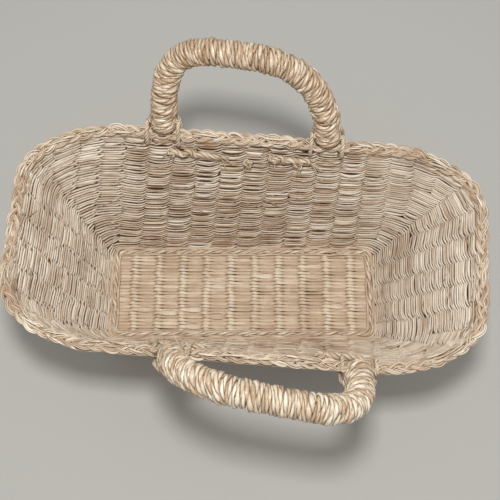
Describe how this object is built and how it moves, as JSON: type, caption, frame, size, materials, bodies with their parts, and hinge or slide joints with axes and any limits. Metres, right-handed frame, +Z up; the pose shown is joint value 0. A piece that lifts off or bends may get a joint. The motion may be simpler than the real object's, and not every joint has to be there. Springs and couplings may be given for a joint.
{
  "type": "woven basket",
  "caption": "Oblong open basket of woven grass with flared walls, a thick braided rim and two wrapped arch handles lashed to the long sides.",
  "frame": {"origin": "middle of the bounding box at the surface the basket stands on", "axes": "+Z up, +X along the long sides, +Y towards the back handle"},
  "size_m": [0.4392, 0.338, 0.2349],
  "materials": {
    "weft_grass": "matt dry grass in fine twined rows",
    "stake_grass": "matt dry grass, slightly paler",
    "braid_grass": "matt plaited grass",
    "cord_grass": "twisted grass cord",
    "wrap_grass": "satin golden grass, wound tight",
    "core_cane": "plain cane, hidden"
  },
  "bodies": {
    "basket": {"cross_stake_01": "stake_grass", "cross_stake_02": "stake_grass", "cross_stake_03": "stake_grass", "cross_stake_04": "stake_grass", "cross_stake_05": "stake_grass", "cross_stake_06": "stake_grass", "cross_stake_07": "stake_grass", "cross_stake_08": "stake_grass", "cross_stake_09": "stake_grass", "cross_stake_10": "stake_grass", "right_stake_1": "stake_grass", "right_stake_2": "stake_grass", "right_stake_3": "stake_grass", "right_stake_4": "stake_grass", "left_stake_1": "stake_grass", "left_stake_2": "stake_grass", "left_stake_3": "stake_grass", "left_stake_4": "stake_grass", "back_right_corner_stake_1": "stake_grass", "back_right_corner_stake_2": "stake_grass", "back_right_corner_stake_3": "stake_grass", "back_left_corner_stake_1": "stake_grass", "back_left_corner_stake_2": "stake_grass", "back_left_corner_stake_3": "stake_grass", "front_left_corner_stake_1": "stake_grass", "front_left_corner_stake_2": "stake_grass", "front_left_corner_stake_3": "stake_grass", "front_right_corner_stake_1": "stake_grass", "front_right_corner_stake_2": "stake_grass", "front_right_corner_stake_3": "stake_grass", "weft_course_1": "weft_grass", "weft_course_2": "weft_grass", "weft_course_3": "weft_grass", "weft_course_4": "weft_grass", "weft_course_5": "weft_grass", "weft_course_6": "weft_grass", "weft_course_7": "weft_grass", "weft_course_8": "weft_grass", "weft_course_9": "weft_grass", "base_strip_1": "weft_grass", "base_strip_2": "weft_grass", "base_strip_3": "weft_grass", "base_strip_4": "weft_grass", "base_strip_5": "weft_grass", "foot_border": "braid_grass", "inner_border": "braid_grass", "rim": "braid_grass", "back_left_tail": "cord_grass", "back_right_tail": "cord_grass", "front_left_tail": "cord_grass", "front_right_tail": "cord_grass"},
    "back_handle": {"back_handle_core": "core_cane", "back_handle_wrap": "wrap_grass", "back_left_lashing": "cord_grass", "back_right_lashing": "cord_grass"},
    "front_handle": {"front_handle_core": "core_cane", "front_handle_wrap": "wrap_grass", "front_left_lashing": "cord_grass", "front_right_lashing": "cord_grass"}
  },
  "joints": [
    {"name": "back_handle_swing", "type": "hinge", "parent": "basket", "child": "back_handle", "pos_m": [0.00826, 0.10267, 0.15], "axis": [-0.9968, 0.0802, 0], "range_deg": [-90, 45]},
    {"name": "front_handle_swing", "type": "hinge", "parent": "basket", "child": "front_handle", "pos_m": [-0.00826, -0.10267, 0.15], "axis": [0.9968, -0.0802, 0], "range_deg": [-90, 45]}
  ]
}
